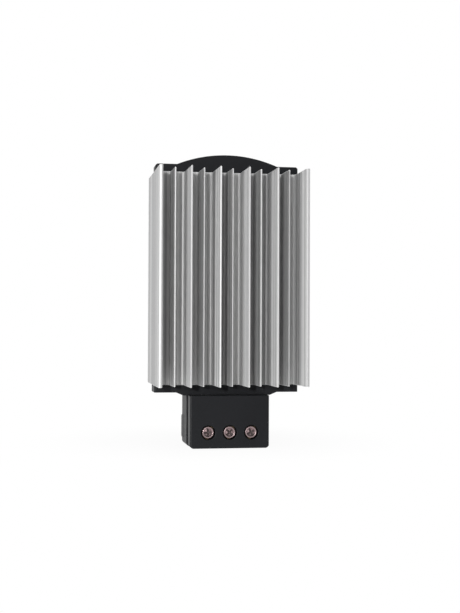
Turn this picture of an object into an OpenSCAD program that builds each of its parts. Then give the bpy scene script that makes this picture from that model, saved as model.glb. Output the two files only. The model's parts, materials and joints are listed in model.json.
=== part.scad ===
/* [Heatsink profile] */
// Width of the profile across its two side walls
profile_w = 70; // [64:1:100]
// Depth of the profile from the front fin tips to the rear face
profile_d = 50; // [44:1:70]
// Length of the profile
profile_h = 101; // [94:1:220]
// Thickness of the core between the front and the rear fins
core_t = 9.4; // [9:0.2:14]
// Height of the long front fins above the core
front_fin_h = 22.7; // [18:0.1:26]
// Thickness of the side walls
wall_t = 1.9; // [1.4:0.1:3]
// Distance from one fin to the next
fin_pitch = 6.69; // [6:0.01:8]
// Thickness of a fin at its tip
fin_tip_t = 0.8; // [0.6:0.1:1.2]
// Thickness of a fin at its root
fin_root_t = 1.4; // [1.2:0.1:2]
// How far the short fins stop behind the long ones
short_drop = 7; // [3:0.2:10]
// Fillet radius at the root of a fin
fin_fillet = 0.7; // [0.4:0.1:1.2]

/* [Clip channel] */
// Thickness of the two rear fins that form the channel
channel_fin_t = 1.5; // [1.2:0.1:2]
// Thickness of the lips that close the channel
channel_lip_t = 2; // [1.4:0.1:3]
// Width of each lip
channel_lip_w = 2; // [1.4:0.1:2.4]

/* [Heating element] */
// Number of heating stones
stone_count = 4; // [2:1:4]
// Width of a stone
stone_w = 20; // [16:0.5:22]
// Height of a stone
stone_h = 18; // [12:0.5:20]
// Thickness of a stone
stone_t = 2.15; // [1.8:0.05:2.4]
// Space between neighbouring stones
stone_gap = 3; // [2:0.5:4]
// Thickness of an electrode strip
electrode_t = 0.5; // [0.3:0.05:0.6]
// Thickness of the insulating film
film_t = 0.3; // [0.2:0.05:0.4]
// Thickness of the pressing wedge
wedge_t = 1.25; // [0.8:0.05:1.4]
// Width of an electrode's solder tab
tab_w = 4; // [3:0.5:5]

/* [Top cap] */
// Thickness of the cap's flat ends
cap_t = 3.6; // [3:0.1:5]
// Width of the arched hump
hump_w = 48.2; // [40:0.2:50]
// Height of the hump above the flat ends
hump_rise = 4.8; // [4.4:0.1:7]
// Wall thickness of the hump
cap_wall = 2; // [1.5:0.1:2.5]
// Corner radius of the cap seen from above
cap_corner_r = 1.4; // [1:0.1:4]
// Radius of the cap's upper end edges
cap_edge_r = 1.4; // [0.6:0.1:2]
// Radius of the cap's lower end edges
cap_low_r = 1; // [0.4:0.1:1.5]
// How far the cap stops short of the side walls' outer faces
cap_inset = 0.5; // [0:0.1:1]
// Depth of the plug lip inside the profile's slot
cap_lip_h = 3; // [2:0.5:4]

/* [Terminal box] */
// Thickness of the flange under the profile
flange_t = 3.4; // [3:0.1:5]
// Depth of the flange, front to back
flange_d = 13; // [11:0.2:16]
// How far the flange stops short of the side walls' outer faces
flange_inset = 0.5; // [0:0.1:1]
// Height of the tapered shoulder under the flange
shoulder_h = 1.4; // [1:0.1:3]
// How far the shoulder tapers in on each side
shoulder_taper = 3.4; // [2:0.2:4]
// Width of the front cover
cover_w = 37.4; // [36:0.1:39]
// Depth of the front cover
cover_d = 7.8; // [7:0.1:9]
// Wall thickness of the front cover
cover_wall = 1.8; // [1.4:0.1:2.2]
// Radius of the cover's lower corners
cover_corner_r = 1.8; // [1:0.1:3]
// Radius of the cover's upright front edges
cover_edge_r = 0.8; // [0.4:0.1:1.4]
// Width of the groove between cover and base
groove_w = 4; // [2:0.1:5]
// Depth of the whole box, front to back
box_d = 28.4; // [26:0.2:32]
// How much wider the base is than the cover, on each side
base_proud = 0.2; // [0:0.1:1]
// Drop of the box below the end of the profile
box_drop = 29; // [28:0.5:36]
// How far the latch pads stand proud of the base's sides
latch_proud = 0.3; // [0.2:0.1:0.8]

/* [Terminals] */
// Distance from one terminal to the next
pole_pitch = 10.16; // [10:0.02:10.6]
// Height of the terminal screws above the bottom of the box
screw_z = 7.4; // [6.6:0.1:8]
// Diameter of a terminal screw's head
head_d = 5.4; // [5:0.1:6]
// Height of a terminal screw's head
head_h = 2.2; // [1.8:0.1:2.6]
// Diameter of a terminal screw's shank
shank_d = 3.5; // [3:0.1:4]
// How far the heads sit behind the face of the cover
head_recess = 0.8; // [0.4:0.1:2]
// Diameter of the access holes in the cover
access_d = 6.6; // [6.4:0.1:7.2]
// Width of a clamp block
block_w = 7.8; // [7:0.1:8]
// Depth of a clamp block
block_d = 11; // [10:0.5:11.5]
// Height of a clamp block
block_h = 10; // [9.6:0.2:11]
// Diameter of the wire entries
wire_d = 4.6; // [3.6:0.1:5]
// Diameter of the inner leads over their insulation
lead_d = 1.8; // [1.2:0.1:2.2]

/* [Rail clip] */
// Height of the rail that the clip holds
rail_h = 35; // [30:0.5:40]
// Thickness of the rail's flanges
rail_t = 1; // [0.8:0.1:1.5]
// Sheet thickness of the clip
clip_t = 1.5; // [1:0.1:2]
// Width of the clip
clip_w = 22; // [16:1:26]
// How far the clip's lips reach over the rail's flanges
hook_lip = 3.4; // [2.6:0.1:3.8]
// Depth of the lower pocket under the rail's edge
pocket_h = 6.5; // [5.5:0.5:9]
// Angle of the lead-in at the end of the lower leg
flare_angle = 30; // [15:1:45]
// Length of the lead-in
flare_len = 2; // [1.5:0.1:2.6]

/* [Fasteners] */
// Shank diameter of the screws that hold the cap and the base
cap_screw_d = 2.5; // [2.1:0.1:3.1]
// Head diameter of those screws
cap_screw_head_d = 5.4; // [4.6:0.1:6]
// Length of those screws under the head's face
cap_screw_l = 12; // [10:1:16]
// Shank diameter of the clip screws
clip_screw_d = 4; // [3:0.5:4.5]
// Head diameter of the clip screws
clip_screw_head_d = 7; // [6:0.5:8]
// Head height of the clip screws
clip_screw_head_h = 1.6; // [1.2:0.1:2]
// Distance between the two clip screws
clip_screw_gap = 14; // [12:1:16]
// Thickness of the nut plate in the channel
nut_plate_t = 3; // [2:0.5:4]

/* [Fits] */
// Clearance of screws in their holes and of leads in their seats
seat_gap = 0.05; // [0.02:0.01:0.1]
// Clearance of pieces that slide together
slide_gap = 0.15; // [0.1:0.05:0.3]

/* [Hidden] */
$fn = 72;
// Overlap that makes joined or cut shapes cross cleanly
lap = 0.4;
// Profile: heights of its ends, plane of its core, reach of its fins
top_z = profile_h / 2;
low_z = -profile_h / 2;
rear_fin_h = profile_d - core_t - front_fin_h;
core_y = -clip_t - rear_fin_h - core_t / 2;
// Fins on each side of the middle one, with room left beside the side wall
wall_room = 3;
fin_side = floor((profile_w / 2 - wall_t - wall_room) / fin_pitch);
wall_fillet = 1.7 * fin_fillet;
// Widths and thicknesses of the element's layers and of the slot around them
strip_margin = 0.8;
slot_side_gap = 0.4;
strip_w = stone_w + 2 * strip_margin;
sleeve_w = strip_w + 2 * film_t;
slot_w = sleeve_w + 2 * slot_side_gap;
sleeve_t = stone_t + 2 * electrode_t + 2 * film_t;
slot_t = sleeve_t + wedge_t;
// Planes of those layers, from the slot's front wall to its rear wall
sleeve_y = core_y - slot_t / 2;
strip_front_y = sleeve_y + film_t;
stone_y = strip_front_y + electrode_t;
strip_rear_y = stone_y + stone_t;
wedge_y = sleeve_y + sleeve_t;
// Heights of the element in the profile
element_lift = 1.5;
strip_over = 2;
sleeve_over = 0.5;
stack_h = stone_count * stone_h + (stone_count - 1) * stone_gap;
strip_h = stack_h + 2 * strip_over;
element_low = low_z + element_lift;
tab_drop = 4;
tab_edge = 0.3;
live_tab_x = -strip_w / 2 + tab_edge + tab_w / 2;
// Screw ports along the core
port_edge = 5.5;
port_d = cap_screw_d + 2 * seat_gap;
port_x = profile_w / 2 - port_edge;
earth_room = 4;
earth_x = slot_w / 2 + earth_room;
// Top cap: radius of its hump, and the room inside its plug lip
cap_w = profile_w - 2 * cap_inset;
hump_r = (pow(hump_w / 2, 2) + pow(hump_rise, 2)) / (2 * hump_rise);
hump_top = cap_t + hump_rise;
cap_lip_t = 1;
cap_lip_w = slot_w - 2 * slide_gap;
cap_lip_d = slot_t - 2 * slide_gap;
cavity_w = cap_lip_w - 2 * cap_lip_t;
cavity_d = cap_lip_d - 2 * cap_lip_t;
// Earth lug: its sizes, and the lower end of its barrel
lug_t = 0.8;
lug_ring_d = 6;
lug_tongue_w = 3;
lug_barrel_t = 0.5;
lug_barrel_l = 4.4;
lug_grip = 3.5;
lug_low = low_z - lug_t - lug_barrel_l;
// Flange, with a window under the slot and the earth lug, and its shoulder
flange_lead = 0.4;
flange_corner_r = 1;
flange_w = profile_w - 2 * flange_inset;
flange_y = core_y - core_t / 2 - flange_lead;
flange_z = low_z - flange_t;
shoulder_z = flange_z - shoulder_h;
window_room = 0.5;
window_floor = 0.7;
window_side = 1.8;
window_w = 2 * earth_x + lug_ring_d + 2 * window_room;
window_d = lug_ring_d + 2 * window_room;
window_z = shoulder_z + window_floor;
shoulder_low = window_w / 2 + window_side;
shoulder_top = shoulder_low + shoulder_taper;
// Box: cover in front, base behind, and a narrower tongue of the base that reaches into the cover
cover_gap = 1;
cover_z = flange_z - cover_gap;
box_z = low_z - box_drop;
box_y = core_y - box_d / 2;
cover_h = cover_z - box_z;
base_y = box_y + cover_d + groove_w;
base_w = cover_w + 2 * base_proud;
base_wall = 2;
base_rear_y = box_y + box_d;
tongue_t = 1.4;
tongue_grip = 1.8;
tongue_l = groove_w + tongue_grip;
neck_y = base_y - tongue_l;
tongue_w = cover_w - 2 * cover_wall - 2 * slide_gap;
tongue_h = cover_h - 2 * cover_wall - 2 * slide_gap;
chamber_w = tongue_w - 2 * tongue_t;
box_floor = cover_wall + slide_gap + tongue_t;
pocket_side = 0.3;
latch_h = 10.6;
latch_d = 7;
latch_r = 1;
latch_lift = 1.2;
// Terminals: planes and heights of screws and blocks
pole_x = [-pole_pitch, 0, pole_pitch];
axis_z = box_z + screw_z;
head_room = 4.9;
head_y = box_y + head_recess;
block_z = box_z + box_floor;
block_top = block_z + block_h;
block_y = head_y + head_h + head_room;
block_roof = 1;
block_rear = 1.7;
wire_y = block_y + block_d - block_rear - wire_d / 2;
wire_depth = block_h - block_roof;
entry_step = 0.3;
clamp_hole_d = wire_d - 2 * entry_step;
tip_room = 0.25;
screw_tip_y = wire_y - clamp_hole_d / 2 - tip_room;
cross_depth = 0.9;
cross_w = 0.9;
cross_l = 3.6;
collar_t = 0.9;
collar_over = 0.4;
collar_l = head_recess + head_h + collar_over;
// Leads: planes beside their solder tabs, heights of their ends and of the step
lead_room = 0.5;
live_lead_y = stone_y + seat_gap + lead_d / 2;
neutral_lead_y = strip_rear_y - seat_gap - lead_d / 2;
lead_top = low_z - lead_room;
elbow_d = 1.08 * lead_d;
step_h = 3;
step_low = block_top + step_h;
step_high = step_low + step_h;
// Front plane of the wiring chamber: the base's face, or further forward where the live lead needs room
chamber_y = min(base_y, live_lead_y - elbow_d / 2 - slide_gap);
// Rail clip: the rail's front face is the plane y = 0
hook_play = 0.3;
hook_gap = rail_t + hook_play;
bend_r = hook_gap / 2;
hook_z = rail_h / 2 + hook_play;
lip_low = rail_h / 2 - hook_lip;
pocket_z = -rail_h / 2 - pocket_h;
nut_plate_over = 9;
nut_plate_h = clip_screw_gap + 2 * nut_plate_over;
nut_plate_w = 2 * fin_pitch - channel_fin_t - 2 * slide_gap;
nut_plate_y = -clip_t - channel_lip_t - nut_plate_t;
clip_screw_over = 0.5;
// Earth screw
earth_head_d = 5.2;
earth_head_h = 1.8;
earth_screw_l = 8;

// Tapered fin with a round tip and filleted root, standing on y = 0
module fin_2d(height) {
    polygon([
        [-fin_root_t / 2, -lap], [fin_root_t / 2, -lap], [fin_root_t / 2, fin_fillet],
        [fin_tip_t / 2, height - fin_tip_t / 2], [-fin_tip_t / 2, height - fin_tip_t / 2],
        [-fin_root_t / 2, fin_fillet]
    ]);
    translate([0, height - fin_tip_t / 2]) circle(d = fin_tip_t);
    for (side = [0, 1])
        mirror([side, 0]) root_fillet_2d(fin_root_t / 2, fin_fillet);
}

// Fillet between a face at x and the floor y = 0
module root_fillet_2d(x, r) {
    difference() {
        translate([x - lap, -lap]) square(r + lap);
        translate([x + r, r]) circle(r);
    }
}

// Row of fins on y = 0: long and short ones by turns
module fin_row_2d(first, height) {
    for (i = [first:fin_side], side = [-1, 1])
        if (i > 0 || side > 0)
            translate([side * i * fin_pitch, 0])
                fin_2d(i % 2 == 1 ? height : height - short_drop);
}

// Side wall with round front and rear edges
module side_wall_2d() {
    front_end = -core_t / 2 - front_fin_h + wall_t / 2;
    translate([profile_w / 2 - wall_t / 2, front_end]) {
        translate([-wall_t / 2, 0]) square([wall_t, profile_d - wall_t]);
        for (y = [0, profile_d - wall_t])
            translate([0, y]) circle(d = wall_t);
    }
    for (face = [0, 1])
        mirror([0, face])
            translate([profile_w / 2 - wall_t, core_t / 2])
                mirror([1, 0]) root_fillet_2d(0, wall_fillet);
}

// Rear fin with an inward lip: a pair of them holds the clip's nut plate
module channel_fin_2d() {
    translate([fin_pitch - channel_fin_t / 2, -lap]) square([channel_fin_t, rear_fin_h + lap]);
    translate([fin_pitch - channel_fin_t / 2 - channel_lip_w, rear_fin_h - channel_lip_t])
        square([channel_lip_w + lap, channel_lip_t]);
    for (side = [0, 1])
        translate([fin_pitch, 0]) mirror([side, 0]) root_fillet_2d(channel_fin_t / 2, fin_fillet);
}

// Section of the extrusion about the centre of its core, front towards -y
module profile_section() {
    difference() {
        union() {
            square([profile_w - wall_t, core_t], center = true);
            translate([0, -core_t / 2]) mirror([0, 1]) fin_row_2d(0, front_fin_h);
            translate([0, core_t / 2]) fin_row_2d(2, rear_fin_h);
            for (side = [0, 1])
                mirror([side, 0]) {
                    side_wall_2d();
                    translate([0, core_t / 2]) channel_fin_2d();
                }
        }
        square([slot_w, slot_t], center = true);
        for (side = [-1, 1], x = [port_x, earth_x])
            translate([side * x, 0]) circle(d = port_d);
    }
}

// Rectangle with round corners, about the origin
module rounded_2d(w, h, r) {
    square([w - 2 * r, h], center = true);
    square([w, h - 2 * r], center = true);
    for (x = [-1, 1], y = [-1, 1])
        translate([x * (w / 2 - r), y * (h / 2 - r)]) circle(r);
}

// Outline drawn in x and z, carried from y to y + depth
module upright(y, depth) {
    translate([0, y + depth, 0]) rotate([90, 0, 0]) linear_extrude(depth) children();
}

// Countersunk screw with its head's face at z = 0 and its shank towards -z
module countersunk(d, head, length) {
    translate([0, 0, -length]) cylinder(d = d, h = length);
    translate([0, 0, -(head - d) / 2]) cylinder(d1 = d, d2 = head, h = (head - d) / 2);
}

// Hole for that screw, with the clearance of a seat
module countersunk_hole(d, head, length) {
    translate([0, 0, -length - lap]) cylinder(d = d + 2 * slide_gap, h = length + 2 * lap);
    translate([0, 0, -(head - d) / 2 - seat_gap])
        cylinder(d1 = d, d2 = head + 2 * seat_gap, h = (head - d) / 2 + seat_gap);
    cylinder(d = head + 2 * seat_gap, h = lap);
}

// Wire in a plane of constant y through a list of x and z, with slightly thicker elbows
module wire(y, points) {
    for (i = [0:len(points) - 2]) {
        start = points[i];
        step = points[i + 1] - start;
        translate([start[0], y, start[1]]) {
            rotate([0, atan2(step[0], step[1]), 0]) cylinder(d = lead_d, h = norm(step));
            if (i > 0) sphere(d = elbow_d);
        }
    }
}

module heatsink_profile() {
    color("silver")
        translate([0, core_y, low_z]) linear_extrude(profile_h) profile_section();
}

// Arched outline of the top cap, its seat at z = 0
module cap_outline_2d() {
    translate([-cap_w / 2, cap_low_r]) square([cap_w, cap_t - cap_edge_r - cap_low_r]);
    translate([-cap_w / 2 + cap_low_r, 0]) square([cap_w - 2 * cap_low_r, cap_t - cap_edge_r]);
    translate([-cap_w / 2 + cap_edge_r, 0]) square([cap_w - 2 * cap_edge_r, cap_t]);
    for (side = [-1, 1]) {
        translate([side * (cap_w / 2 - cap_edge_r), cap_t - cap_edge_r]) circle(cap_edge_r);
        translate([side * (cap_w / 2 - cap_low_r), cap_low_r]) circle(cap_low_r);
    }
    hump_2d(hump_r, hump_w, 0);
}

// Arc of the hump above a floor at z = low, cut off at a width
module hump_2d(r, width, low) {
    intersection() {
        translate([0, hump_top - hump_r]) circle(r);
        translate([-width / 2, low]) square([width, hump_top]);
    }
}

module top_cap() {
    color("dimgray") difference() {
        translate([0, 0, top_z]) union() {
            intersection() {
                upright(core_y - core_t / 2, core_t) cap_outline_2d();
                translate([0, core_y, 0]) linear_extrude(hump_top + lap)
                    rounded_2d(cap_w, core_t, cap_corner_r);
            }
            cap_lip();
        }
        translate([0, 0, top_z]) cap_cavity();
        for (side = [-1, 1])
            translate([side * port_x, core_y, top_z + cap_t])
                countersunk_hole(cap_screw_d, cap_screw_head_d, cap_t);
    }
}

// Ring that plugs into the profile's slot
module cap_lip() {
    translate([0, core_y, -cap_lip_h]) linear_extrude(cap_lip_h + lap)
        difference() {
            square([cap_lip_w, cap_lip_d], center = true);
            square([cavity_w, cavity_d], center = true);
        }
}

// Room under the hump, open to the slot
module cap_cavity() {
    upright(core_y - cavity_d / 2, cavity_d) hump_2d(hump_r - cap_wall, cavity_w, -cap_lip_h - lap);
}

module top_cap_screws() {
    color("lightgray")
        for (side = [-1, 1])
            translate([side * port_x, core_y, top_z + cap_t])
                countersunk(cap_screw_d, cap_screw_head_d, cap_screw_l);
}

// Flange, shoulder and rear half of the box, before it is hollowed
module base_body() {
    translate([0, flange_y + flange_d / 2, flange_z]) linear_extrude(flange_t)
        rounded_2d(flange_w, flange_d, flange_corner_r);
    upright(flange_y, flange_d) polygon([
        [-shoulder_top, flange_z], [-shoulder_top, flange_z + lap],
        [shoulder_top, flange_z + lap], [shoulder_top, flange_z],
        [shoulder_low, shoulder_z], [-shoulder_low, shoulder_z]
    ]);
    intersection() {
        upright(base_y, base_rear_y - base_y) box_outline_2d(base_w, flange_z);
        translate([0, base_rear_y - box_d / 2, box_z]) linear_extrude(box_drop)
            rounded_2d(base_w, box_d, cover_edge_r);
    }
    for (side = [-1, 1])
        translate([side * base_w / 2, base_rear_y - latch_d / 2 - cover_edge_r, axis_z + latch_lift])
            rotate([0, 90, 0])
                translate([0, 0, -lap]) linear_extrude(lap + latch_proud)
                    rounded_2d(latch_h, latch_d, latch_r);
    // Neck in the groove, with its front end inside the cover
    upright(neck_y, tongue_l + lap) difference() {
        translate([0, box_z + cover_h / 2]) rounded_2d(tongue_w, tongue_h, cover_corner_r);
        translate([0, box_z + cover_h / 2]) square([chamber_w, tongue_h - 2 * tongue_t], center = true);
    }
}

// Front outline of the box, up to a given height, with round lower corners
module box_outline_2d(w, high) {
    translate([-w / 2, box_z + cover_corner_r]) square([w, high - box_z - cover_corner_r]);
    translate([-w / 2 + cover_corner_r, box_z]) square([w - 2 * cover_corner_r, cover_corner_r + lap]);
    for (side = [-1, 1])
        translate([side * (w / 2 - cover_corner_r), box_z + cover_corner_r]) circle(cover_corner_r);
}

module terminal_base() {
    color("dimgray") difference() {
        base_body();
        // Window in the flange, under the end of the slot and the earth screw
        translate([-window_w / 2, core_y - window_d / 2, window_z])
            cube([window_w, window_d, low_z - window_z + lap]);
        // Wiring chamber above the clamp blocks
        translate([-chamber_w / 2, chamber_y, block_top])
            cube([chamber_w, base_rear_y - base_wall - chamber_y, window_z - block_top + lap]);
        for (x = pole_x) {
            // Pocket of a clamp block, open to the front through the neck
            translate([x - block_w / 2 - pocket_side, neck_y - lap, block_z])
                cube([block_w + 2 * pocket_side, block_y + block_d - neck_y + lap, block_h + lap]);
            translate([x, wire_y, box_z - lap]) cylinder(d = wire_d, h = box_floor + 2 * lap);
        }
        for (side = [-1, 1])
            translate([side * port_x, core_y, flange_z]) mirror([0, 0, 1])
                countersunk_hole(cap_screw_d, cap_screw_head_d, flange_t);
    }
}

module base_screws() {
    color("lightgray")
        for (side = [-1, 1])
            translate([side * port_x, core_y, flange_z]) mirror([0, 0, 1])
                countersunk(cap_screw_d, cap_screw_head_d, cap_screw_l);
}

module terminal_cover() {
    color("dimgray") difference() {
        union() {
            difference() {
                intersection() {
                    upright(box_y, cover_d) box_outline_2d(cover_w, cover_z);
                    translate([0, box_y + box_d / 2, box_z]) linear_extrude(cover_h)
                        rounded_2d(cover_w, box_d, cover_edge_r);
                }
                upright(box_y + cover_wall, cover_d)
                    translate([0, box_z + cover_h / 2])
                        rounded_2d(cover_w - 2 * cover_wall, cover_h - 2 * cover_wall, cover_corner_r);
            }
            // Collars around the screw heads
            for (x = pole_x)
                translate([x, box_y + cover_wall - lap, axis_z]) rotate([-90, 0, 0])
                    cylinder(d = access_d + 2 * collar_t, h = collar_l - cover_wall + lap);
        }
        for (x = pole_x)
            translate([x, box_y - lap, axis_z]) rotate([-90, 0, 0])
                cylinder(d = access_d, h = collar_l + 2 * lap);
    }
}

// Clamp screw of one terminal, drawn back so that its wire entry is clear
module terminal_screw(x) {
    color("rosybrown") translate([x, head_y, axis_z]) rotate([-90, 0, 0]) difference() {
        union() {
            cylinder(d = head_d, h = head_h);
            cylinder(d = shank_d, h = screw_tip_y - head_y);
        }
        translate([0, 0, cross_depth / 2 - lap / 2]) {
            cube([cross_l, cross_w, cross_depth + lap], center = true);
            cube([cross_w, cross_l, cross_depth + lap], center = true);
        }
    }
}

// Brass block of one terminal: wire entry from below, clamp screw from the front
module clamp_block(x) {
    color("goldenrod") difference() {
        translate([x - block_w / 2, block_y, block_z]) cube([block_w, block_d, block_h]);
        translate([x, wire_y, block_z - lap]) cylinder(d = clamp_hole_d, h = wire_depth + lap);
        translate([x, block_y - lap, axis_z]) rotate([-90, 0, 0])
            cylinder(d = shank_d + 2 * seat_gap, h = wire_y - block_y + lap);
    }
}

module terminal_screw_live() {
    terminal_screw(pole_x[0]);
}

module terminal_screw_neutral() {
    terminal_screw(pole_x[1]);
}

module terminal_screw_earth() {
    terminal_screw(pole_x[2]);
}

module clamp_block_live() {
    clamp_block(pole_x[0]);
}

module clamp_block_neutral() {
    clamp_block(pole_x[1]);
}

module clamp_block_earth() {
    clamp_block(pole_x[2]);
}

module live_lead() {
    color("firebrick") wire(live_lead_y, [
        [pole_x[0], block_top], [pole_x[0], step_low], [live_tab_x, step_high], [live_tab_x, lead_top]
    ]);
}

module neutral_lead() {
    color("steelblue") wire(neutral_lead_y, [[pole_x[1], block_top], [pole_x[1], lead_top]]);
}

module earth_lead() {
    color("yellowgreen") wire(core_y, [[pole_x[2], block_top], [pole_x[2], lug_low + lug_grip]]);
}

// Ring tongue under the earth screw, with a barrel bent down over the lead
module earth_lug() {
    color("lightgray") difference() {
        union() {
            translate([earth_x, core_y, low_z - lug_t]) cylinder(d = lug_ring_d, h = lug_t);
            translate([pole_x[2], core_y - lug_tongue_w / 2, low_z - lug_t])
                cube([earth_x - pole_x[2], lug_tongue_w, lug_t]);
            translate([pole_x[2], core_y, lug_low])
                cylinder(d = lead_d + 2 * lug_barrel_t, h = lug_barrel_l + lug_t);
        }
        translate([earth_x, core_y, low_z - lug_t - lap])
            cylinder(d = cap_screw_d + 2 * slide_gap, h = lug_t + 2 * lap);
        translate([pole_x[2], core_y, lug_low - lap])
            cylinder(d = lead_d + 2 * seat_gap, h = lug_grip + lap);
    }
}

module earth_screw() {
    color("lightgray") translate([earth_x, core_y, low_z - lug_t - earth_head_h]) {
        cylinder(d = cap_screw_d, h = earth_head_h + earth_screw_l);
        cylinder(d = earth_head_d, h = earth_head_h);
    }
}

module heating_stones() {
    color("slategray")
        for (i = [0:stone_count - 1])
            translate([-stone_w / 2, stone_y, element_low + strip_over + i * (stone_h + stone_gap)])
                cube([stone_w, stone_t, stone_h]);
}

// Contact strip with a solder tab at its lower end
module electrode(y, tab_x) {
    color("gainsboro") {
        translate([-strip_w / 2, y, element_low]) cube([strip_w, electrode_t, strip_h]);
        translate([tab_x - tab_w / 2, y, low_z - tab_drop])
            cube([tab_w, electrode_t, tab_drop + element_lift + lap]);
    }
}

module electrode_front() {
    electrode(strip_front_y, live_tab_x);
}

module electrode_rear() {
    electrode(strip_rear_y, pole_x[1]);
}

module insulating_sleeve() {
    color("darkorange") translate([0, sleeve_y + sleeve_t / 2, element_low - sleeve_over])
        linear_extrude(strip_h + 2 * sleeve_over) difference() {
            square([sleeve_w, sleeve_t], center = true);
            square([strip_w, sleeve_t - 2 * film_t], center = true);
        }
}

module pressing_wedge() {
    color("gray") translate([-strip_w / 2, wedge_y, element_low]) cube([strip_w, wedge_t, strip_h]);
}

// Quarter ring of sheet with its centre at the origin, turned by an angle
module bend_2d(inner, angle) {
    rotate(angle) intersection() {
        difference() {
            circle(inner + clip_t);
            circle(inner);
        }
        square(inner + clip_t);
    }
}

// Side view of the clip: first coordinate towards the rail, second one up
module clip_side_2d() {
    leg_top = -lip_low - flare_len * cos(flare_angle);
    translate([-clip_t, pocket_z + bend_r]) square([clip_t, hook_z - 2 * bend_r - pocket_z]);
    // Upper hook
    translate([bend_r, hook_z - bend_r]) {
        bend_2d(bend_r, 0);
        bend_2d(bend_r, 90);
    }
    translate([hook_gap, lip_low]) square([clip_t, hook_z - bend_r - lip_low]);
    // Lower pocket and the lead-in at the end of its leg
    translate([bend_r, pocket_z + bend_r]) {
        bend_2d(bend_r, 180);
        bend_2d(bend_r, 270);
    }
    translate([hook_gap, pocket_z + bend_r]) square([clip_t, leg_top - pocket_z - bend_r]);
    translate([hook_gap, leg_top]) rotate(-flare_angle) square([clip_t, flare_len]);
}

module rail_clip() {
    color("lightslategray") difference() {
        translate([-clip_w / 2, 0, 0]) rotate([90, 0, 90]) linear_extrude(clip_w) clip_side_2d();
        for (side = [-1, 1])
            translate([0, lap, side * clip_screw_gap / 2]) rotate([90, 0, 0])
                cylinder(d = clip_screw_d + 2 * slide_gap, h = clip_t + 2 * lap);
    }
}

module clip_nut_plate() {
    color("darkgray") difference() {
        translate([-nut_plate_w / 2, nut_plate_y, -nut_plate_h / 2])
            cube([nut_plate_w, nut_plate_t, nut_plate_h]);
        for (side = [-1, 1])
            translate([0, nut_plate_y - lap, side * clip_screw_gap / 2]) rotate([-90, 0, 0])
                cylinder(d = clip_screw_d + 2 * seat_gap, h = nut_plate_t + 2 * lap);
    }
}

module clip_screws() {
    color("lightgray")
        for (side = [-1, 1])
            translate([0, 0, side * clip_screw_gap / 2]) rotate([90, 0, 0]) {
                cylinder(d = clip_screw_d, h = clip_screw_over - nut_plate_y);
                translate([0, 0, -clip_screw_head_h])
                    cylinder(d = clip_screw_head_d, h = clip_screw_head_h);
            }
}

heatsink_profile();
top_cap();
top_cap_screws();
terminal_base();
base_screws();
terminal_cover();
terminal_screw_live();
terminal_screw_neutral();
terminal_screw_earth();
clamp_block_live();
clamp_block_neutral();
clamp_block_earth();
live_lead();
neutral_lead();
earth_lead();
earth_lug();
earth_screw();
heating_stones();
electrode_front();
electrode_rear();
insulating_sleeve();
pressing_wedge();
rail_clip();
clip_nut_plate();
clip_screws();
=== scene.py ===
import json
import math

import bmesh
import bpy
import numpy as np
from mathutils import Matrix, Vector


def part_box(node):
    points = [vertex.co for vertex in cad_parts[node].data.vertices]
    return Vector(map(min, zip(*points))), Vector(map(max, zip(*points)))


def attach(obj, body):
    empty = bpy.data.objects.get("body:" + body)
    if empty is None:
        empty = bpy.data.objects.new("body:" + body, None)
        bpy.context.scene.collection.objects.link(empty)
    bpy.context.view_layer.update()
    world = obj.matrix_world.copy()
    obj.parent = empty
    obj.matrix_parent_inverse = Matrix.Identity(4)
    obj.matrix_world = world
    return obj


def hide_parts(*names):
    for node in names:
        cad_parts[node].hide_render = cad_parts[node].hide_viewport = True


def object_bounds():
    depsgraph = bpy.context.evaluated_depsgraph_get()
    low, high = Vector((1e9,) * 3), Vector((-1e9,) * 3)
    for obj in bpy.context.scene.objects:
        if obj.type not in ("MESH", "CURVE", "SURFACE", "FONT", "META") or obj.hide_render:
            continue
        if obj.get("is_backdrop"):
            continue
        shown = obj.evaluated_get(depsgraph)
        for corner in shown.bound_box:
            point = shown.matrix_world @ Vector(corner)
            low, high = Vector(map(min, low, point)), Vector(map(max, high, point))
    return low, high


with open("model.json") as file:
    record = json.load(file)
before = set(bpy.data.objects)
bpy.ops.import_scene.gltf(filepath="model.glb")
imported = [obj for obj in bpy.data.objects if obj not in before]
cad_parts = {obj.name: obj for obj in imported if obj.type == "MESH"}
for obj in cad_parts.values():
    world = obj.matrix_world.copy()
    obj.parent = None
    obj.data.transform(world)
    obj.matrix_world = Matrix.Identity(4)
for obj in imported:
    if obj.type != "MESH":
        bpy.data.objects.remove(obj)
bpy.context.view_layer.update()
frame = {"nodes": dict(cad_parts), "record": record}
scene = bpy.context.scene
scene.view_settings.view_transform = "Standard"
print("frame loaded,", len(frame["nodes"]), "solids")

mm = 0.001
white = (1, 1, 1, 1)


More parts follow.
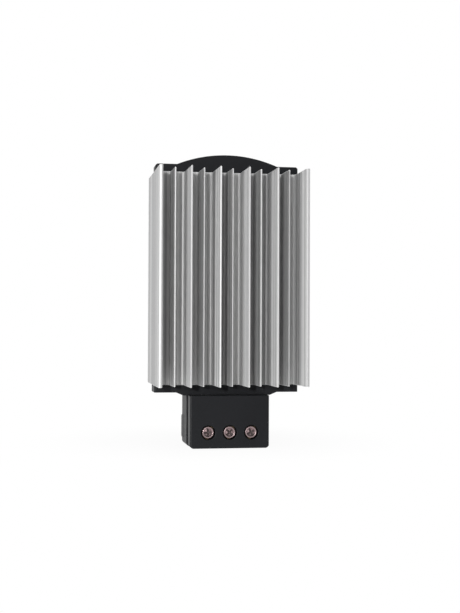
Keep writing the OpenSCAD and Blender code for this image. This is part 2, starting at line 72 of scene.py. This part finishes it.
class Val:
    # wraps one shader output; arithmetic on it adds Math nodes, node() adds any other node
    def __init__(self, tree, made=None, out=0):
        self.tree = tree
        self.made = made
        self.socket = made.outputs[out] if made and made.outputs else None

    def node(self, kind, settings=None, inputs=None, out=0):
        made = self.tree.nodes.new("ShaderNode" + kind)
        for key, value in (settings or {}).items():
            setattr(made, key, value)
        for key, value in (inputs or {}).items():
            if isinstance(value, Val):
                self.tree.links.new(value.socket, made.inputs[key])
            else:
                made.inputs[key].default_value = value
        return Val(self.tree, made, out)

    def at(self, out):
        return Val(self.tree, self.made, out)

    def math(self, operation, *values):
        return self.node("Math", {"operation": operation}, dict(enumerate(values)))

    def __add__(self, other):
        return self.math("ADD", self, other)

    def __sub__(self, other):
        return self.math("SUBTRACT", self, other)

    def __rsub__(self, other):
        return self.math("SUBTRACT", other, self)

    def __mul__(self, other):
        return self.math("MULTIPLY", self, other)

    def __abs__(self):
        return self.math("ABSOLUTE", self)

    __radd__ = __add__
    __rmul__ = __mul__

    def larger(self, other):
        return self.math("MAXIMUM", self, other)

    def swing(self, amount):  # noise about its own middle
        return (self - 0.5) * amount

    def ramp(self, low, high, atLow=0.0, atHigh=1.0):  # smooth step from one value to another
        return self.node("MapRange", {"interpolation_type": "SMOOTHSTEP"},
                         {"Value": self, "From Min": low, "From Max": high,
                          "To Min": atLow, "To Max": atHigh})

    def mix(self, first, second):  # colours mixed by this value
        return self.node("Mix", {"data_type": "RGBA"}, {0: self, 6: first, 7: second}, out=2)

    def parts(self):  # a vector's own X, Y and Z
        return self.node("SeparateXYZ", None, {0: self})

    def noise(self, place, scale, stretch=(1, 1, 1), detail=2.0):  # grey noise on stretched coordinates
        spread = self.node("Mapping", None, {"Vector": place, "Scale": stretch})
        return self.node("TexNoise", None, {"Vector": spread, "Scale": scale, "Detail": detail})

    def bump(self, height, look):
        return self.node("Bump", None, {"Height": height, "Strength": look["bump"],
                                        "Distance": look["bumpHeight"]})


def startMaterial(name):
    mat = bpy.data.materials.new(name)
    mat.use_nodes = True
    mat.node_tree.nodes.clear()
    root = Val(mat.node_tree)
    place = root.node("TexCoord").at("Object")
    return mat, root, place


def closeMaterial(root, varying, fixed):  # linked sockets, then plain numbers on the shader's own sockets
    shader = root.node("BsdfPrincipled", None, {**fixed, **varying})
    root.node("OutputMaterial", None, {"Surface": shader})


def grey(level, tint=(1.0, 1.0, 1.0)):
    return (level * tint[0], level * tint[1], level * tint[2], 1.0)


metalLook = {  # lengths in metres; facing is how far a face looks along the fins, from 0 to 1
    "tone": 0.605, "spread": 0.2, "contrast": (0.40, 0.60),
    "darkTint": (1, 1, 1.01), "lightTint": (1, 1, 0.995),
    "rough": 0.48, "roughSpread": 0.12, "metallic": 0.16, "specular": 0.0,
    "linesFrom": (0.1096, 0.0568, 0.0), "alongFins": 0.0008, "bump": 0.05, "bumpHeight": 0.0002,
    "bandScale": 170.0, "lineScale": 640.0, "lineDetail": 3.0, "fineScale": 4200.0,
    "bandShare": 0.3, "lineShare": 0.5, "fineShare": 0.2, "fineBump": 0.5,
    "sawnFacing": (0.92, 0.98), "sawScale": 2600.0, "sawStretch": (1, 0.05, 1), "sawnRough": 0.1,
    "cutFacing": (0.15, 0.4), "bareEdgeAndHighlightTone": 0.96, "cutMetal": 0.1, "cutGloss": 0.15,
    "sinkWidth": 0.0014, "sinkDepth": 0.5, "skinFrom": 0.0002, "skinFull": 0.0001,
}


def sinkLines(place, look):  # faint lines on the walls' outer faces, where the core meets the wall
    coreLow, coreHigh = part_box("top_cap")  # the cap is as deep as the core
    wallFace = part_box("heatsink_profile")[1][0]
    spot = place.parts()
    fromCore = abs(spot.at("Y") - (coreLow[1] + coreHigh[1]) / 2) - (coreHigh[1] - coreLow[1]) / 2
    outside = abs(spot.at("X")).ramp(wallFace - look["skinFrom"], wallFace - look["skinFull"])
    return (1 - abs(fromCore).ramp(0.0, look["sinkWidth"])) * outside


def anodisedMetal(look):
    # die lines run straight up the extrusion; the sawn ends carry cross marks,
    # and their broken edges are bare metal, lightened near white as a painted highlight
    mat, root, place = startMaterial("anodisedMetal")
    along = (1, 1, look["alongFins"])
    drawn = root.node("Mapping", None, {"Vector": place, "Location": look["linesFrom"]})
    bands = root.noise(drawn, look["bandScale"], along)
    lines = root.noise(drawn, look["lineScale"], along, look["lineDetail"])
    fine = root.noise(drawn, look["fineScale"], along)
    saw = root.noise(place, look["sawScale"], look["sawStretch"])
    facing = abs(root.node("TexCoord").at("Normal").parts().at("Z"))
    sawn = facing.ramp(*look["sawnFacing"])
    broken = facing.ramp(*look["cutFacing"]) * (1 - sawn)
    streak = bands * look["bandShare"] + lines * look["lineShare"] + fine * look["fineShare"]
    marks = streak * (1 - sawn) + saw * sawn
    tone = marks.ramp(*look["contrast"]) - sinkLines(place, look) * look["sinkDepth"]
    dark = grey(look["tone"] - look["spread"], look["darkTint"])
    light = grey(look["tone"] + look["spread"], look["lightTint"])
    # the broken edges take bare metal's tone, raised near white as a painted highlight
    colour = broken.mix(tone.mix(dark, light), grey(look["bareEdgeAndHighlightTone"]))
    rough = look["rough"] + fine.swing(look["roughSpread"])
    rough = rough + sawn * look["sawnRough"] - broken * look["cutGloss"]
    metallic = look["metallic"] + broken * look["cutMetal"]
    normal = root.bump(fine * look["fineBump"] + lines * (1 - look["fineBump"]), look)
    closeMaterial(root, {"Base Color": colour, "Roughness": rough, "Metallic": metallic, "Normal": normal},
                  {"Specular IOR Level": look["specular"]})
    return mat


plasticLook = {
    "colour": (0.0076, 0.0081, 0.0099), "darkest": 0.82, "lightest": 1.2,
    "contrast": (0.25, 0.75), "flowShare": 0.5,
    "rough": 0.46, "poreRough": 0.16, "flowRough": 0.06, "specular": 0.18,
    "grainScale": 2600.0, "grainDetail": 1.0, "poreScale": 910.0, "flowScale": 55.0,
    "poreBump": 0.3, "bump": 0.25, "bumpHeight": 0.00012,
}


def mouldedPlastic(name, look):  # spark-eroded mould texture: close fine grain with faint flow clouds
    mat, root, place = startMaterial(name)
    grain = root.noise(place, look["grainScale"], detail=look["grainDetail"])
    pores = root.noise(place, look["poreScale"])
    flow = root.noise(place, look["flowScale"])
    cloud = grain * (1 - look["flowShare"]) + flow * look["flowShare"]
    dark, light = (grey(look[end], look["colour"]) for end in ("darkest", "lightest"))
    rough = look["rough"] + pores.swing(look["poreRough"]) + flow.swing(look["flowRough"])
    normal = root.bump(grain * (1 - look["poreBump"]) + pores * look["poreBump"], look)
    closeMaterial(root, {"Base Color": cloud.ramp(*look["contrast"]).mix(dark, light), "Roughness": rough,
                         "Normal": normal}, {"Specular IOR Level": look["specular"]})
    return mat


plateLook = {  # what a plated finish has unless it says otherwise, with the colours of a painted highlight on rims and of painted shade in recesses
    "scale": 700.0, "blotchDetail": 3.0, "contrast": (0.3, 0.7), "metallic": 1.0, "bare": (0.7, 0.7, 0.7),
    "scratchFiner": 4, "scratchStretch": (1, 0.08, 0.3), "scratchShare": 0.3, "scratchRough": 0.18,
    "grime": 0.35, "grimeTone": 0.03, "grimeTint": (1.15, 1.0, 0.95), "grimeRough": 0.3,
    "bump": 0.08, "bumpHeight": 0.0001,
}


def platedMetal(name, dark, light, rough, **own):
    # plating with soft blotches and fine scratches; what the mesh marks on the rim is lightened as a painted
    # highlight, and what it marks as recess is darkened as painted shade
    look = {**plateLook, **own}
    mat, root, place = startMaterial(name)
    blotch = root.noise(place, look["scale"], detail=look["blotchDetail"])
    scratch = root.noise(place, look["scale"] * look["scratchFiner"], look["scratchStretch"])
    worn = root.node("Attribute", {"attribute_name": "worn"}).at("Fac")
    grime = root.node("Attribute", {"attribute_name": "recess"}).at("Fac") * look["grime"]
    patch = blotch * (1 - look["scratchShare"]) + scratch * look["scratchShare"]
    colour = patch.ramp(*look["contrast"]).mix((*dark, 1), (*light, 1))
    colour = worn.mix(colour, (*look["bare"], 1))
    colour = grime.mix(colour, grey(look["grimeTone"], look["grimeTint"]))
    gloss = rough + scratch.swing(look["scratchRough"]) + grime * look["grimeRough"]
    closeMaterial(root, {"Base Color": colour, "Roughness": gloss, "Normal": root.bump(scratch, look)},
                  {"Metallic": look["metallic"]})
    return mat


speckLook = {"scale": 1500.0, "detail": 3.0, "contrast": (0.35, 0.65), "roughSpread": 0.1,
             "bump": 0.1, "bumpHeight": 0.0001}


def speckled(name, dark, light, rough, look=speckLook):  # ceramic, film and lead insulation
    mat, root, place = startMaterial(name)
    speck = root.noise(place, look["scale"], detail=look["detail"])
    colour = speck.ramp(*look["contrast"]).mix((*dark, 1), (*light, 1))
    closeMaterial(root, {"Base Color": colour, "Roughness": rough + speck.swing(look["roughSpread"]),
                         "Normal": root.bump(speck, look)}, {})
    return mat


finishes = {  # one for each of the record's slots: name, dark colour, light colour and roughness
    "anodised_aluminium": anodisedMetal(metalLook),
    "black_plastic": mouldedPlastic("blackPlastic", plasticLook),
    # the copper screws take a painted highlight on their rims and painted shade in their recesses
    "copper_plated_screw": platedMetal("copperPlate", (0.20, 0.140, 0.142), (0.34, 0.240, 0.244), 0.32,
                                       scale=900.0, metallic=0.6, grime=0.85, bare=(0.37, 0.278, 0.280)),
    "zinc_steel": platedMetal("zincPlate", (0.50, 0.51, 0.52), (0.66, 0.67, 0.68), 0.36),
    # the clamp brass is darkened far below brass's own colour as painted shade, as it sits deep in the box
    "brass_block": platedMetal("clampBrass", (0.11, 0.08, 0.045), (0.18, 0.135, 0.075), 0.5),
    "tinned_strip": platedMetal("tinnedStrip", (0.58, 0.58, 0.57), (0.72, 0.72, 0.71), 0.30),
    "stone_ceramic": speckled("heatingStone", (0.10, 0.10, 0.10), (0.20, 0.19, 0.18), 0.6),
    "insulating_film": speckled("amberFilm", (0.42, 0.20, 0.03), (0.60, 0.32, 0.07), 0.35),
    "lead_red": speckled("redLead", (0.36, 0.03, 0.03), (0.50, 0.06, 0.05), 0.45),
    "lead_blue": speckled("blueLead", (0.04, 0.10, 0.34), (0.06, 0.15, 0.46), 0.45),
    "lead_green_yellow": speckled("earthLead", (0.30, 0.36, 0.04), (0.50, 0.52, 0.06), 0.45),
}
nodeSlots = {row["node"]: row["material_slot"] for row in frame["record"]["subparts"]}
for name, solid in frame["nodes"].items():
    solid.data.materials.clear()
    solid.data.materials.append(finishes[nodeSlots[name]])
print("materials made:", len(finishes))


def addPiece(name, mesh, node):  # a finished piece stands for one CAD node and takes that node's slot
    slotName = nodeSlots[node]
    mesh.materials.clear()
    mesh.materials.append(finishes[slotName])
    piece = bpy.data.objects.new(name, mesh)
    scene.collection.objects.link(piece)
    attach(piece, "root")
    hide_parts(node)
    return piece


sameSpot = 1e-6  # points nearer than this are one


def mergedCopy(node):  # the solid's triangles, joined at their corners
    shape = bmesh.new()
    shape.from_mesh(frame["nodes"][node].data)
    bmesh.ops.remove_doubles(shape, verts=shape.verts, dist=sameSpot)
    return shape


def closeShape(shape, mesh, crease=None):  # into its mesh, smooth but for edges past the crease
    shape.to_mesh(mesh)
    shape.free()
    mesh.shade_smooth()
    if crease:
        mesh.set_sharp_from_angle(angle=math.radians(crease))


edgeLook = {"angle": 55, "flat": 0.5, "segments": 3, "flatWeight": 90}  # edges below angle belong to an arc
softEdges = {  # moulded and bent pieces, with the width of their rounded edges
    "top_cap": {"name": "topCapShell", "width": 0.00025},
    "terminal_base": {"name": "terminalBaseShell", "width": 0.00018,
                      "padFoot": 0.0188, "padFace": 0.0191,  # half widths
                      "padTop": -0.065, "padLead": 0.0022},  # their top at most, their slope's length
    "terminal_cover": {"name": "terminalCoverShell", "width": 0.00030},
    "rail_clip": {"name": "railClipStrip", "width": 0.00012},
}


def onPads(point, side, look):  # the pads lie outside the given half width and below the flange
    return abs(point.co.x) > side and point.co.z < look["padTop"]


def slopePads(shape, look):
    # the front of each latch pad's outer face is drawn back, which leaves a lead-in slope
    face = [point for point in shape.verts if onPads(point, look["padFace"], look)]
    middle = (min(point.co.y for point in face) + max(point.co.y for point in face)) / 2
    front = [point for point in face if point.co.y < middle]
    bmesh.ops.translate(shape, vec=(0, look["padLead"], 0), verts=front)
    shape.normal_update()


def joinedCopy(node, look):  # the solid's own faces, joined up into as few flat ones as its shape needs
    shape = mergedCopy(node)
    flat = math.radians(edgeLook["flat"])
    bmesh.ops.dissolve_limit(shape, angle_limit=flat, verts=shape.verts, edges=shape.edges)
    if "padLead" in look:
        slopePads(shape, look)
    rounded = shape.edges.layers.float.new("bevel_weight_edge")
    for edge in shape.edges:
        turn = edge.calc_face_angle_signed(0)
        padSide = look.get("padFoot" if turn < 0 else "padFace", math.inf)  # a pad's foot and rim stay sharp
        onPad = all(onPads(end, padSide, look) for end in edge.verts)
        edge[rounded] = float(abs(turn) > math.radians(edgeLook["angle"]) and not onPad)
    mesh = bpy.data.meshes.new(look["name"])
    closeShape(shape, mesh)
    return mesh


def softenEdges(piece, look):
    edge = piece.modifiers.new("edge", "BEVEL")
    edge.width = look["width"]
    edge.segments = edgeLook["segments"]
    edge.limit_method = "WEIGHT"
    edge.use_clamp_overlap = False  # an arc's short facets would hold every edge back to their own length
    edge.loop_slide = False
    shading = piece.modifiers.new("shading", "WEIGHTED_NORMAL")  # large flat faces keep their own direction
    shading.weight = edgeLook["flatWeight"]


for node, look in softEdges.items():
    softenEdges(addPiece(look["name"], joinedCopy(node, look), node), look)
print("rounded pieces:", len(softEdges))

finBody = {"node": "heatsink_profile", "name": "finBody", "broken": 0.00028, "crease": 35.0,
           "endFacing": 0.9, "wallFacing": 0.5}  # how far ends look along the fins at least, walls at most


def sawnOutline(look):  # the corners of the sawn end's outline, and for each the number of the next one
    shape = mergedCopy(look["node"])
    shape.verts.index_update()
    sawn = [loop for face in shape.faces if face.normal.z > look["endFacing"] for loop in face.loops]
    border = [loop for loop in sawn if abs(loop.link_loop_radial_next.face.normal.z) < look["wallFacing"]]
    place = np.array([loop.vert.co[:2] for loop in border])
    number = {loop.vert.index: i for i, loop in enumerate(border)}
    after = np.array([number[loop.link_loop_next.vert.index] for loop in border])
    shape.free()
    return place, after


def sawnBody(look):
    # the outline of the sawn end is carried straight along the fins; both ends are broken by a narrow
    # chamfer, where each point moves in along the mean of its two edges' normals
    place, after = sawnOutline(look)
    low, high = (corner[2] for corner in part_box(look["node"]))
    ahead = place[after] - place
    ahead /= np.linalg.norm(ahead, axis=1)[:, None]
    outward = np.stack([ahead[:, 1], -ahead[:, 0]], 1)
    before = np.empty_like(after)
    before[after] = np.arange(len(after))
    both = outward + outward[before]
    inset = place - look["broken"] * both / (both * both).sum(1)[:, None] * 2
    levels = [(inset, low), (place, low + look["broken"]), (place, high - look["broken"]), (inset, high)]
    points = np.concatenate([np.column_stack([ring, np.full(len(ring), level)]) for ring, level in levels])
    count = len(place)
    start = np.arange(count)
    band = np.stack([start, after, after + count, start + count], 1)
    quads = np.concatenate([band + row * count for row in range(len(levels) - 1)])
    mesh = bpy.data.meshes.new(look["name"])
    mesh.from_pydata(points.tolist(), [], quads.tolist())
    shape = bmesh.new()
    shape.from_mesh(mesh)
    for level, up in ((low, -1), (high, 1)):
        rim = [edge for edge in shape.edges
               if edge.is_boundary and abs(edge.verts[0].co.z - level) < sameSpot]
        bmesh.ops.triangle_fill(shape, edges=rim, use_beauty=True, normal=(0, 0, up))
    closeShape(shape, mesh, look["crease"])
    addPiece(look["name"], mesh, look["node"])


sawnBody(finBody)
print("profile ends broken")


def gridFaces(rows, columns):  # quads of a grid that closes on itself round the columns
    row, column = np.meshgrid(np.arange(rows - 1), np.arange(columns), indexing="ij")
    after = (column + 1) % columns
    quads = np.stack([row * columns + column, row * columns + after,
                      (row + 1) * columns + after, (row + 1) * columns + column], -1)
    return quads.reshape(-1, 4)


def smoothStep(value, low, high):
    part = np.clip((value - low) / (high - low), 0, 1)
    return part * part * (3 - 2 * part)


screwCut = {  # what all screws share: their grid, the cross's edge, and the painted highlight and painted shade by the rim and in the cross, in mm
    "rings": 56, "around": 128, "centre": 0.02, "crease": 50.0,
    "soft": 0.09, "shallower": 0.45, "grimeReach": 1.6,
    "wearWidth": 0.2, "grooveFrom": 1.1, "grooveFull": 0.3, "grooveOut": 0.15, "grimeLow": 0.8,
}
screwAxes = {  # where a screw's right, up and outward directions point
    "-y": [[1, 0, 0], [0, 0, 1], [0, -1, 0]],
    "+y": [[-1, 0, 0], [0, 0, 1], [0, 1, 0]],
    "+z": [[1, 0, 0], [0, 1, 0], [0, 0, 1]],
    "-z": [[1, 0, 0], [0, -1, 0], [0, 0, -1]],
}


def crossRecess(look, across, up):  # depth of a cross of two soft-edged arms, less towards their ends
    arm = look["armWidth"] / 2
    reach = look["armReach"] / 2
    soft = look["soft"]
    bars = [smoothStep(arm + soft - np.abs(a), 0, 2 * soft)
            * smoothStep(reach + soft - np.abs(b), 0, 3 * soft)
            for a, b in ((across, up), (up, across))]
    fall = look["shallower"] * np.clip(np.hypot(across, up) / reach, 0, 1)
    return look["depth"] * np.maximum(*bars) * (1 - fall)


def turnedScrew(look, turn):
    # a turned outline of (radius, height), carried round the axis; on the head's top the height drops
    # inside a cross of two tapered arms, deepest in the middle
    rings = look["rings"]
    outline = np.array(look["outline"])
    edge = int(outline[:, 0].argmax())  # the first point of the head's full width ends its top
    top = np.linspace(look["centre"], outline[edge, 0], rings)
    topHeight = np.interp(top, outline[:edge + 1, 0], outline[:edge + 1, 1])
    radius = np.concatenate([top, outline[edge + 1:, 0]])[:, None]
    height = np.concatenate([topHeight, outline[edge + 1:, 1]])[:, None]
    angle = np.linspace(0, 2 * np.pi, look["around"], endpoint=False)
    across = radius * np.cos(angle)
    up = radius * np.sin(angle)
    sink = crossRecess(look, across, up)
    sink[rings:] = 0
    turn = math.radians(turn)
    side = across * math.cos(turn) - up * math.sin(turn)
    lift = across * math.sin(turn) + up * math.cos(turn)
    # painted shade: the cross recess is darkened the more, the deeper it is
    recess = np.clip(sink / look["depth"] * look["grimeReach"], 0, 1)
    worn = np.zeros_like(recess)
    if "rim" in look:  # a raised rim is lightened as a painted highlight, and the low part of the groove inside it is darkened as painted shade
        rim = look["rim"]
        worn[:rings] = smoothStep(radius, rim, rim + look["wearWidth"])[:rings]
        groove = smoothStep(radius, rim - look["grooveFrom"], rim - look["grooveFull"])
        groove = groove * (1 - smoothStep(radius, rim, rim + look["grooveOut"]))
        recess = np.maximum(recess, groove * smoothStep(-lift / radius, 0.0, look["grimeLow"]))
    return np.stack([side, lift, height - sink], -1) * mm, recess, worn


def placeScrews(name, node, look, places, outward):
    # each screw's own axis is turned to the outward direction and set on its place, all in one mesh
    points = []
    faces = []
    marks = {"recess": [], "worn": []}
    start = 0
    for turn, place in zip(look["turns"], places):
        grid, recess, worn = turnedScrew({**screwCut, **look}, turn)
        rows, columns = grid.shape[:2]
        points.append(grid.reshape(-1, 3) @ np.array(screwAxes[outward], float) + np.array(place))
        marks["recess"].append(recess.ravel())
        marks["worn"].append(worn.ravel())
        ring = start + np.arange(columns)
        faces += (gridFaces(rows, columns) + start).tolist()
        faces.append(ring[::-1].tolist())
        faces.append((ring + (rows - 1) * columns).tolist())
        start += rows * columns
    mesh = bpy.data.meshes.new(name)
    mesh.from_pydata(np.concatenate(points).tolist(), [], faces)
    shape = bmesh.new()
    shape.from_mesh(mesh)
    bmesh.ops.recalc_face_normals(shape, faces=shape.faces)
    closeShape(shape, mesh, screwCut["crease"])
    for mark, values in marks.items():
        mesh.attributes.new(mark, "FLOAT", "POINT").data.foreach_set("value", np.concatenate(values))
    addPiece(name, mesh, node)


def headRadius(look):
    return max(radius for radius, height in look["outline"]) * mm


clampScrew = {"outline": [(0, -0.20), (1.1, -0.22), (1.7, -0.30), (1.95, -0.32), (2.05, -0.16), (2.2, -0.04),
                          (2.35, 0.0), (2.5, -0.03), (2.62, -0.12), (2.7, -0.28), (2.7, -2.2), (1.75, -2.2),
                          (1.75, -11.3), (1.4, -11.8)],
              "armWidth": 0.8, "armReach": 3.6, "depth": 1.0, "rim": 1.95}
clampTurns = {"live": 4, "neutral": 45, "earth": 28}
for pole, turn in clampTurns.items():
    node = "terminal_screw_" + pole
    low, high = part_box(node)
    head = ((low[0] + high[0]) / 2, low[1], (low[2] + high[2]) / 2)
    placeScrews("clampScrew" + pole.capitalize(), node, {**clampScrew, "turns": [turn]}, [head], "-y")

sunkScrew = {"outline": [(0, 0.0), (2.6, 0.0), (2.7, -0.06), (1.25, -1.5), (1.25, -11.4), (0.7, -12.0)],
             "armWidth": 0.9, "armReach": 3.4, "depth": 1.2, "turns": [12, 57]}
for node, outward, name in (("top_cap_screws", "+z", "capScrews"), ("base_screws", "-z", "baseScrews")):
    low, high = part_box(node)
    apart = (high[0] - low[0]) / 2 - headRadius(sunkScrew)
    level = high[2] if outward == "+z" else low[2]
    heads = [(side * apart, (low[1] + high[1]) / 2, level) for side in (-1, 1)]
    placeScrews(name, node, sunkScrew, heads, outward)

panScrew = {"outline": [(0, 0.0), (1.2, -0.05), (2.4, -0.24), (3.0, -0.48), (3.35, -0.8), (3.5, -1.15),
                        (3.5, -1.6), (2.0, -1.6), (2.0, -8.2), (1.6, -8.6)],
            "armWidth": 1.2, "armReach": 4.4, "depth": 1.0, "turns": [33, 78]}
low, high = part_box("clip_screws")
apart = (high[2] - low[2]) / 2 - headRadius(panScrew)
placeScrews("clipScrews", "clip_screws", panScrew, [(0.0, high[1], side * apart) for side in (-1, 1)], "+y")
print("screws turned")

view = {"yaw": 9.81, "pitch": -1.01, "roll": 0.23, "place": (-0.0885, -0.5490, -0.0225),
        "focal": 1110.0, "rows": 613, "sensor": 36.0, "clip": 0.01}  # focal length in rows of the picture


def turned(degrees, first, second):  # a turn in the plane of two axes
    angle = math.radians(degrees)
    turn = np.eye(3)
    turn[first, first] = turn[second, second] = math.cos(angle)
    turn[first, second] = -math.sin(angle)
    turn[second, first] = math.sin(angle)
    return turn


def stand(thing, right, above, back, spot):  # sets an object's three directions and its place
    scene.collection.objects.link(thing)
    thing.matrix_world = Matrix([[right[i], above[i], back[i], spot[i]] for i in range(3)] + [[0, 0, 0, 1]])


def aimCamera(look):  # rows of the turned frame are the picture's right, down and forward directions
    upright = turned(90, 1, 2) @ turned(look["yaw"], 0, 1)
    right, down, ahead = turned(look["roll"], 0, 1) @ turned(look["pitch"], 1, 2) @ upright
    lens = bpy.data.cameras.new("camera")
    lens.sensor_fit = "VERTICAL"
    lens.sensor_height = look["sensor"]
    lens.lens = look["focal"] / look["rows"] * look["sensor"]
    lens.clip_start = look["clip"]
    camera = bpy.data.objects.new("camera", lens)
    stand(camera, right, -down, -ahead, look["place"])
    scene.camera = camera


aimCamera(view)

lampAim = np.array([0.0, -0.027, -0.01])  # near the middle of the part
lamps = {  # azimuth is measured from the front towards the left side; size is in metres, power in watts
    "keyLamp": {"azimuth": 42, "height": 4, "far": 1.6, "size": (0.02, 0.08), "power": 12.3},
    "frontLamp": {"azimuth": 17.5, "height": 6, "far": 1.5, "size": (0.02, 0.08), "power": 7.8},
    "backLamp": {"azimuth": 200, "height": 40, "far": 1.6, "size": (0.8, 0.8), "power": 5.0},
}


def hangLamp(name, look):
    swing = math.radians(look["azimuth"])
    lift = math.radians(look["height"])
    away = np.array([-math.sin(swing) * math.cos(lift), -math.cos(swing) * math.cos(lift), math.sin(lift)])
    light = bpy.data.lights.new(name, "AREA")
    light.shape = "RECTANGLE"
    light.size, light.size_y = look["size"]
    light.energy = look["power"]
    side = np.cross([0, 0, 1], away)
    side /= np.linalg.norm(side)
    stand(bpy.data.objects.new(name, light), side, np.cross(away, side), away, lampAim + away * look["far"])


for name, look in lamps.items():
    hangLamp(name, look)

room = {  # backdrop and floor are white to the camera, and mirrored from backFrom and floorFrom on
    "white": 1.0, "backFrom": (-0.1, 0.35), "fill": 0.29, "flagged": 0.05, "flagFrom": (0.0, 0.9),
    "half": 6.0, "gap": 0.0002, "floorFrom": (-0.25, 0.05), "bounce": 0.5,
    "shadow": 0.14, "shadowNear": 0.02, "shadowFar": 0.13,
    "paper": (0.86, 0.90), "paperScale": 40.0, "paperContrast": (0.3, 0.7),
}


def shownRays(root, behind):  # camera rays always see white, mirrored and passed rays only behind the part
    path = root.node("LightPath")
    mirrored = path.at("Is Glossy Ray").larger(path.at("Is Transmission Ray"))
    return path.at("Is Camera Ray").larger(mirrored * behind)


def lightRoom(look):
    world = bpy.data.worlds.new("studio")
    scene.world = world
    world.use_nodes = True
    world.node_tree.nodes.clear()
    root = Val(world.node_tree)
    toward = root.node("TexCoord").at("Generated").parts()
    shown = shownRays(root, toward.at("Y").ramp(*look["backFrom"]))
    leftBack = toward.at("Y") - toward.at("X")
    fill = leftBack.ramp(*look["flagFrom"], look["fill"], look["flagged"])  # a dark flag stands left
    level = shown * (look["white"] - fill) + fill
    back = root.node("Background", None, {"Color": white, "Strength": level})
    root.node("OutputWorld", None, {"Surface": back})


def palePaper(look):
    mat, root, place = startMaterial("palePaper")
    dark, light = (grey(level) for level in look["paper"])
    paper = root.noise(place, look["paperScale"]).ramp(*look["paperContrast"]).mix(dark, light)
    distance = root.node("VectorMath", {"operation": "LENGTH"}, {0: place}).at("Value")
    shade = distance.ramp(look["shadowNear"], look["shadowFar"], look["shadow"], 0.0)
    matt = root.node("BsdfDiffuse", None, {"Color": paper})
    glow = root.node("Emission", None, {"Color": white, "Strength": look["white"]})
    shown = shownRays(root, place.parts().at("Y").ramp(*look["floorFrom"]))
    lit = (shown * (1 - shade)).larger(look["bounce"])
    both = root.node("MixShader", None, {0: lit, 1: matt, 2: glow})
    under = root.node("NewGeometry").at("Backfacing")  # from below the floor lets the part be seen
    clear = root.node("BsdfTransparent")
    either = root.node("MixShader", None, {0: under, 1: both, 2: clear})
    root.node("OutputMaterial", None, {"Surface": either})
    return mat


def layFloor(look):
    level = float(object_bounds()[0][2]) - look["gap"]
    half = look["half"]
    corners = [(-half, -half, level), (half, -half, level), (half, half, level), (-half, half, level)]
    mesh = bpy.data.meshes.new("paleFloor")
    mesh.from_pydata(corners, [], [(0, 1, 2, 3)])
    mesh.materials.append(palePaper(look))
    floor = bpy.data.objects.new("paleFloor", mesh)
    scene.collection.objects.link(floor)
    floor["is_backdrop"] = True


lightRoom(room)
layFloor(room)
print("camera, lamps and room set")
